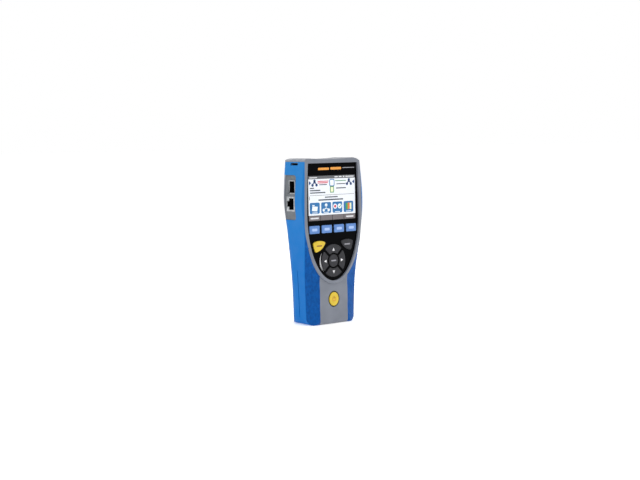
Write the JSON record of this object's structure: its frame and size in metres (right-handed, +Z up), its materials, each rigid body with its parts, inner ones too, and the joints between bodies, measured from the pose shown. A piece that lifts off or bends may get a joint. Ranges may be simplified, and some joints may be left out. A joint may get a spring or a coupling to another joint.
{
  "type": "handheld network tester",
  "caption": "Handheld network tester with a shield-shaped black lens, colour display, keypad, rubber side grips, side port panels and a battery door at the back.",
  "frame": {"origin": "middle of the flat base, on the surface the tester stands on", "axes": "+X to the viewer's right, +Z up towards the display end, and the display and keys face -Y"},
  "size_m": [0.08, 0.04, 0.175],
  "materials": {
    "grey_housing": "moulded satin",
    "blue_rubber": "soft moulded",
    "black_lens": "polished",
    "display_glass": "polished",
    "steel_can": "tinned",
    "dark_foam": "foam",
    "blue_key": "satin",
    "yellow_key": "satin",
    "dark_key": "satin",
    "silicone": "soft",
    "circuit_board": "solder mask",
    "brass_post": "turned",
    "black_plastic": "moulded",
    "gold_contact": "plated",
    "clear_plastic": "clear",
    "battery_wrap": "film wrap",
    "screw_steel": "black zinc",
    "port_panel": "moulded satin"
  },
  "bodies": {
    "case": {"front_housing": "grey_housing", "rear_housing": "grey_housing", "left_grip": "blue_rubber", "right_grip": "blue_rubber", "lens_panel": "black_lens", "display_glass": "display_glass", "display_module": "steel_can", "display_gasket": "dark_foam", "key_mat": "silicone", "dome_switches": "steel_can", "key_board": "circuit_board", "main_board": "circuit_board", "board_standoffs": "brass_post", "board_connector": "black_plastic", "circuit_chips": "black_plastic", "clock_cell": "steel_can", "left_jack": "steel_can", "right_jack": "steel_can", "left_jack_contacts": "gold_contact", "right_jack_contacts": "gold_contact", "transceiver_cage": "steel_can", "usb_socket": "steel_can", "power_inlet": "black_plastic", "link_lights": "clear_plastic", "battery_pack": "battery_wrap", "battery_tray": "black_plastic", "battery_contacts": "gold_contact", "buzzer": "black_plastic", "case_screws": "screw_steel", "left_port_panel": "port_panel", "right_port_panel": "port_panel"},
    "f1_key": {"f1_key": "blue_key"},
    "f2_key": {"f2_key": "blue_key"},
    "f3_key": {"f3_key": "blue_key"},
    "f4_key": {"f4_key": "blue_key"},
    "escape_key": {"escape_key": "yellow_key"},
    "autotest_key": {"autotest_key": "dark_key"},
    "up_key": {"up_key": "dark_key"},
    "right_key": {"right_key": "dark_key"},
    "down_key": {"down_key": "dark_key"},
    "left_key": {"left_key": "dark_key"},
    "enter_key": {"enter_key": "dark_key"},
    "power_key": {"power_key": "yellow_key"},
    "battery_door": {"battery_door": "grey_housing", "door_screws": "screw_steel"}
  },
  "joints": [
    {"name": "f1_press", "type": "slide", "parent": "case", "child": "f1_key", "axis": [0, 1, 0], "range_m": [0, 0.0008], "stiffness_N_per_m": 1500},
    {"name": "f2_press", "type": "slide", "parent": "case", "child": "f2_key", "axis": [0, 1, 0], "range_m": [0, 0.0008], "stiffness_N_per_m": 1500},
    {"name": "f3_press", "type": "slide", "parent": "case", "child": "f3_key", "axis": [0, 1, 0], "range_m": [0, 0.0008], "stiffness_N_per_m": 1500},
    {"name": "f4_press", "type": "slide", "parent": "case", "child": "f4_key", "axis": [0, 1, 0], "range_m": [0, 0.0008], "stiffness_N_per_m": 1500},
    {"name": "escape_press", "type": "slide", "parent": "case", "child": "escape_key", "axis": [0, 1, 0], "range_m": [0, 0.0008], "stiffness_N_per_m": 1500},
    {"name": "autotest_press", "type": "slide", "parent": "case", "child": "autotest_key", "axis": [0, 1, 0], "range_m": [0, 0.0008], "stiffness_N_per_m": 1500},
    {"name": "up_press", "type": "slide", "parent": "case", "child": "up_key", "axis": [0, 1, 0], "range_m": [0, 0.0008], "stiffness_N_per_m": 1500},
    {"name": "right_press", "type": "slide", "parent": "case", "child": "right_key", "axis": [0, 1, 0], "range_m": [0, 0.0008], "stiffness_N_per_m": 1500},
    {"name": "down_press", "type": "slide", "parent": "case", "child": "down_key", "axis": [0, 1, 0], "range_m": [0, 0.0008], "stiffness_N_per_m": 1500},
    {"name": "left_press", "type": "slide", "parent": "case", "child": "left_key", "axis": [0, 1, 0], "range_m": [0, 0.0008], "stiffness_N_per_m": 1500},
    {"name": "enter_press", "type": "slide", "parent": "case", "child": "enter_key", "axis": [0, 1, 0], "range_m": [0, 0.0008], "stiffness_N_per_m": 1500},
    {"name": "power_press", "type": "slide", "parent": "case", "child": "power_key", "axis": [0, 1, 0], "range_m": [0, 0.0008], "stiffness_N_per_m": 1500},
    {"name": "battery_door_lift", "type": "slide", "parent": "case", "child": "battery_door", "axis": [0, 1, 0], "range_m": [0, 0.025]}
  ]
}
